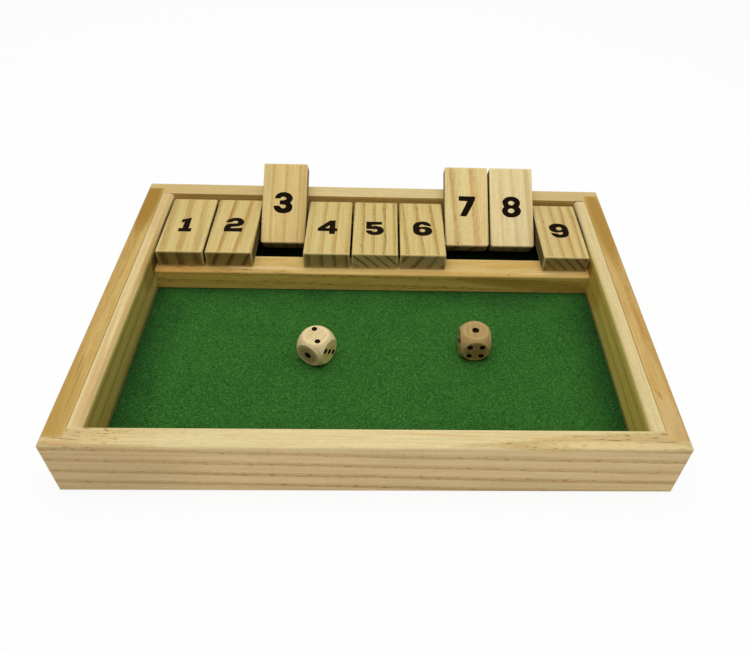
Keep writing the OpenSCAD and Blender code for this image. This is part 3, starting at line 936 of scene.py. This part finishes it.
def felt_material(name, low, high):
    """Pressed green wool: short tangled fibres in three directions, mottled, with a soft sheen.

    low and high are the colours between the strands and on them."""
    material = bpy.data.materials.new(name)
    s = Shader(material)
    inputs = {"Vector": s.node("TexCoord").outputs["Object"], "Scale": (1 / MM,) * 3}
    at = s.node("Mapping", None, inputs).outputs[0]
    x, y, _ = s.split(at)

    # Strands: three layers of noise, each drawn out one way, and tangled by a slow swirl
    swirl = s.node("TexNoise", None, {"Vector": at, "Scale": 0.22, "Detail": 2.0}).outputs["Color"]
    inputs = {0: swirl, 1: (5, 5, 5), 2: at}
    tangled = s.node("VectorMath", {"operation": "MULTIPLY_ADD"}, inputs).outputs[0]
    layers = []
    for angle in (20, 80, 145):
        inputs = {"Vector": tangled, "Angle": math.radians(angle)}
        turned = s.node("VectorRotate", {"rotation_type": "Z_AXIS"}, inputs).outputs[0]
        a, b, c = s.split(turned)
        layers.append(s.noise(s.vector(s.mul(a, 0.5), s.mul(b, 1.7), c), 1.0, 3, 0.65))
    strands = s.math("MAXIMUM", s.math("MAXIMUM", layers[0], layers[1]), layers[2])
    grain = s.noise(at, 1.4, 3, 0.8)
    patches = s.noise(at, 0.06, 3, 0.6)
    tone = s.add(-2.12, s.mul(strands, 2.2), s.mul(grain, 3.3), s.mul(patches, 0.35))
    tone = s.math("MAXIMUM", tone, 0.25)
    colour = s.mix(s.smooth(strands, 0.45, 0.8), low, high)

    # Painted shade: darker near the walls and the rail, and nearly black behind the rail
    side_gap = s.math("MINIMUM", s.sub(OPEN_HALF_W, s.math("ABSOLUTE", x)), s.sub(y, OPEN_FRONT))
    wall_gap = s.math("MINIMUM", side_gap, s.add(RAIL_EASE, s.sub(OPEN_BACK, y)))
    wall_shade_mask = s.smooth(s.add(wall_gap, s.swing(patches, 14)), WALL_SHADE_REACH, -3)
    behind_rail_shade = s.smooth(y, OPEN_BACK - 1.0, OPEN_BACK + 0.4)
    colour = s.mix(wall_shade_mask, colour, s.times(colour, WALL_SHADE))
    colour = s.shade(colour, s.mul(tone, s.sub(1.0, s.mul(behind_rail_shade, HIDDEN_SHADE))))

    # A few pale specks
    rare = s.smooth(s.noise(s.vector(s.mul(x, 0.9), s.mul(y, 0.9), 7.0), 1.0, 1, 0.5), 0.80, 0.84)
    colour = s.mix(s.mul(rare, 0.7), colour, srgb(150, 172, 108))
    height = s.add(s.mul(strands, 0.7), s.mul(grain, 0.5))
    s.principled(Base_Color=colour, Roughness=0.95, Normal=s.bump(height, 0.35 * MM, 0.8),
                 Specular_IOR_Level=0.05, Sheen_Weight=0.12, Sheen_Roughness=0.5,
                 Sheen_Tint=srgb(150, 200, 120))
    return material


def sheet_mesh(name, low, high, cell, dip):
    """A thin slab whose upper face dips unevenly below its own height, with soft cut edges."""
    across = round((high.x - low.x) / cell)
    deep = round((high.y - low.y) / cell)
    mesh = bmesh.new()
    top, bottom = [], []
    for j in range(deep + 1):
        for i in range(across + 1):
            x = low.x + (high.x - low.x) * i / across
            y = low.y + (high.y - low.y) * j / deep
            here = Vector((x, y, 0)) / MM
            fall = 0.5 + 0.3 * noise.noise(here * 0.35) + 0.25 * noise.noise(here * 0.05)
            steeper = 2 if i in (0, across) or j in (0, deep) else 1
            top.append(mesh.verts.new((x, y, high.z - dip * steeper * min(max(fall, 0), 1))))
            bottom.append(mesh.verts.new((x, y, low.z)))
    wide = across + 1
    for j in range(deep):
        for i in range(across):
            a = j * wide + i
            ring = (a, a + 1, a + 1 + wide, a + wide)
            mesh.faces.new([top[k] for k in ring])
            mesh.faces.new([bottom[k] for k in reversed(ring)])
    border = list(range(across))
    border += [across + j * wide for j in range(deep)]
    border += [deep * wide + across - i for i in range(across)]
    border += [(deep - j) * wide for j in range(deep)]
    for a, b in zip(border, border[1:] + border[:1]):
        mesh.faces.new((top[a], bottom[a], bottom[b], top[b]))
    made = bpy.data.meshes.new(name)
    mesh.to_mesh(made)
    mesh.free()
    made.shade_smooth()
    return made


def fibre_mesh(name, low, high, count, rng):
    """Loose wool fibres that lie curled on the felt, as thin closed three-sided tubes."""
    mesh = bmesh.new()
    for _ in range(count):
        at = Vector((rng.uniform(low.x, high.x), rng.uniform(low.y, high.y), high.z))
        heading = rng.uniform(0, 2 * math.pi)
        curl = rng.uniform(-0.5, 0.5)
        step = rng.uniform(0.25, 0.6) * MM
        rise = rng.uniform(0.02, 0.16) * MM
        rings = []
        for k in range(FIBRE_JOINTS):
            side = Vector((-math.sin(heading), math.cos(heading), 0))
            arch = math.sin(math.pi * k / (FIBRE_JOINTS - 1))
            middle = at + Vector((0, 0, rise * arch))
            thick = FIBRE_R * MM * (0.5 + 0.5 * arch)
            corners = [side * thick, -side * thick, Vector((0, 0, 1.7 * thick))]
            rings.append([mesh.verts.new(middle + corner) for corner in corners])
            at = at + Vector((math.cos(heading), math.sin(heading), 0)) * step
            heading += curl
        for a, b in zip(rings, rings[1:]):
            for i in range(3):
                k = (i + 1) % 3
                mesh.faces.new((a[i], b[i], b[k], a[k]))
        mesh.faces.new(rings[0])
        mesh.faces.new(rings[-1][::-1])
    bmesh.ops.recalc_face_normals(mesh, faces=mesh.faces)
    made = bpy.data.meshes.new(name)
    mesh.to_mesh(made)
    mesh.free()
    return made


def make_felt():
    """The felt sheet, which stands for its CAD solid, and the loose fibres on its open part."""
    low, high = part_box("felt_bed")
    mesh = sheet_mesh("felt_sheet", low, high, FELT_CELL * MM, FELT_DIP * MM)
    mesh.materials.append(felt_material("green_felt", srgb(42, 89, 33), srgb(66, 121, 49)))
    felt = add_object("felt_sheet", mesh)
    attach(felt, "root")
    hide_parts("felt_bed")

    rail_low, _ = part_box("rest_rail")
    _, liner_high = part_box("left_liner")
    edge = FIBRE_MARGIN * MM
    lying = high.z - FIBRE_SINK * MM
    open_low = Vector((liner_high.x + edge, low.y + edge, lying))
    open_high = Vector((-liner_high.x - edge, rail_low.y - edge, lying))
    mesh = fibre_mesh("felt_fibres", open_low, open_high, FIBRE_COUNT, random.Random(FIBRE_SEED))
    mesh.materials.append(felt_material("green_fibres", srgb(58, 112, 44), srgb(100, 150, 72)))
    fibres = add_object("felt_fibres", mesh)
    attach(fibres, "root")


# ---------------------------------------------------------------- steel rod

def steel_material():
    """Drawn steel wire with fine scratches along the rod. Its colour is darker and browner than bare steel:
    painted shade of the deep gaps it lies in, and a painted reflection of the wood round it.
    """
    material = bpy.data.materials.new("rod_steel")
    s = Shader(material)
    at = s.node("TexCoord").outputs["Object"]
    x, y, z = s.split(at)
    drawn = s.noise(s.vector(s.mul(x, 60), s.mul(y, 4000), s.mul(z, 4000)), 1.0, 3, 0.6)
    rough = s.add(0.46, s.mul(drawn, 0.22))
    colour = s.mix(drawn, srgb(58, 48, 34), srgb(90, 76, 56))
    s.principled(Base_Color=colour, Metallic=1.0, Roughness=rough, Normal=s.bump(drawn, 0.01 * MM, 0.5))
    return material


# ---------------------------------------------------------------- the scene

def main():
    bpy.context.scene.view_settings.view_transform = "Standard"
    make_camera()
    make_lights()
    make_world()
    make_floor()
    make_boards()
    make_tiles()
    ink = ink_material()
    make_numbers(ink)
    make_dice(ink)
    make_felt()
    dress("hinge_rod", steel_material())


main()
